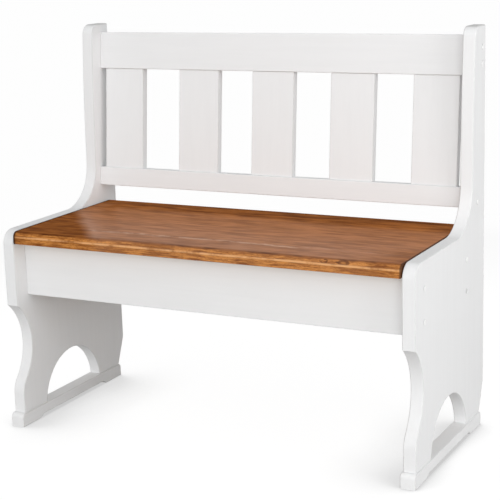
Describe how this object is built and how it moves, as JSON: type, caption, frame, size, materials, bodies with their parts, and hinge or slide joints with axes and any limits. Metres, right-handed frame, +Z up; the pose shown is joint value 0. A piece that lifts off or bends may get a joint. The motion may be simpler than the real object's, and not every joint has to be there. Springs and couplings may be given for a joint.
{
  "type": "bench",
  "caption": "Free-standing wooden bench with a slatted leaning back, shaped end panels on foot rails, a plank seat and a deep front apron",
  "frame": {"origin": "centre of the footprint of the whole bench, at floor level", "axes": "+X to the right seen from the front, -Y towards the sitter's front, +Z up"},
  "size_m": [0.984, 0.4404, 0.886],
  "materials": {
    "white_paint": "white satin paint",
    "stained_seat": "brown stain under satin lacquer",
    "raw_wood": "bare planed softwood",
    "white_cap": "satin white",
    "steel": "zinc plated"
  },
  "bodies": {
    "root": {"end_panel_left": "white_paint", "foot_rail_left": "white_paint", "end_panel_right": "white_paint", "foot_rail_right": "white_paint", "seat_board": "stained_seat", "front_apron": "white_paint", "rear_apron": "white_paint", "top_rail": "white_paint", "lower_rail": "white_paint", "back_slat_1": "white_paint", "back_slat_2": "white_paint", "back_slat_3": "white_paint", "back_slat_4": "white_paint", "back_slat_5": "white_paint", "seat_cleat_left": "raw_wood", "seat_cleat_right": "raw_wood", "screw_top_rail_a_left": "steel", "cap_top_rail_a_left": "white_cap", "screw_top_rail_b_left": "steel", "cap_top_rail_b_left": "white_cap", "screw_lower_rail_left": "steel", "cap_lower_rail_left": "white_cap", "screw_front_apron_a_left": "steel", "cap_front_apron_a_left": "white_cap", "screw_front_apron_b_left": "steel", "cap_front_apron_b_left": "white_cap", "screw_rear_apron_a_left": "steel", "cap_rear_apron_a_left": "white_cap", "screw_rear_apron_b_left": "steel", "cap_rear_apron_b_left": "white_cap", "screw_cleat_a_left": "steel", "screw_cleat_b_left": "steel", "screw_seat_a_left": "steel", "screw_seat_b_left": "steel", "screw_foot_front_left": "steel", "screw_foot_rear_left": "steel", "screw_top_rail_a_right": "steel", "cap_top_rail_a_right": "white_cap", "screw_top_rail_b_right": "steel", "cap_top_rail_b_right": "white_cap", "screw_lower_rail_right": "steel", "cap_lower_rail_right": "white_cap", "screw_front_apron_a_right": "steel", "cap_front_apron_a_right": "white_cap", "screw_front_apron_b_right": "steel", "cap_front_apron_b_right": "white_cap", "screw_rear_apron_a_right": "steel", "cap_rear_apron_a_right": "white_cap", "screw_rear_apron_b_right": "steel", "cap_rear_apron_b_right": "white_cap", "screw_cleat_a_right": "steel", "screw_cleat_b_right": "steel", "screw_seat_a_right": "steel", "screw_seat_b_right": "steel", "screw_foot_front_right": "steel", "screw_foot_rear_right": "steel"}
  },
  "joints": []
}
